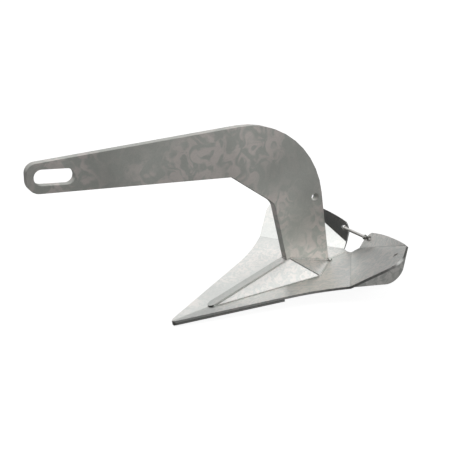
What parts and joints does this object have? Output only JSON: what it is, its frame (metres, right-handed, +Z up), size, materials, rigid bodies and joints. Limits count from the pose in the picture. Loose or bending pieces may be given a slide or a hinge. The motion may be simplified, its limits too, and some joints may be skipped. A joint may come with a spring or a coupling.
{
  "type": "boat anchor",
  "caption": "Galvanised plough anchor: flat gooseneck shank with a slotted shackle end, V-shaped blade with flared wings, raised ears and side fins, weighted toe.",
  "frame": {"origin": "middle of the footprint of the whole anchor, on the ground it stands on", "axes": "+X from the shackle end towards the rear of the blade, +Y towards the wing called right in the node names (left is -Y), +Z up"},
  "size_m": [0.5934, 0.4322, 0.3594],
  "materials": {
    "galvanised_plate": "dull hot-dip galvanised, soft cloudy patches",
    "galvanised_blade": "bright hot-dip galvanised, fine spangle",
    "galvanised_weld": "rippled weld bead under galvanising",
    "galvanised_bar": "smooth hot-dip galvanised round bar",
    "lead_ballast": "dull cast lead"
  },
  "bodies": {
    "root": {"shank": "galvanised_plate", "toe_rib": "galvanised_plate", "wing_left": "galvanised_blade", "wing_right": "galvanised_blade", "toe_plate_left": "galvanised_plate", "toe_plate_right": "galvanised_plate", "cheek_plate_left": "galvanised_blade", "cheek_plate_right": "galvanised_blade", "heel_plate_left": "galvanised_blade", "heel_plate_right": "galvanised_blade", "ballast_left": "lead_ballast", "ballast_right": "lead_ballast", "fin_left": "galvanised_plate", "fin_right": "galvanised_plate", "fin_weld_left": "galvanised_weld", "fin_weld_right": "galvanised_weld", "toe_plate_weld_left": "galvanised_weld", "toe_plate_weld_right": "galvanised_weld", "heel_weld": "galvanised_weld", "valley_weld": "galvanised_weld", "ear_bar": "galvanised_bar", "ear_bar_weld_left": "galvanised_weld", "ear_bar_weld_right": "galvanised_weld"}
  },
  "joints": []
}
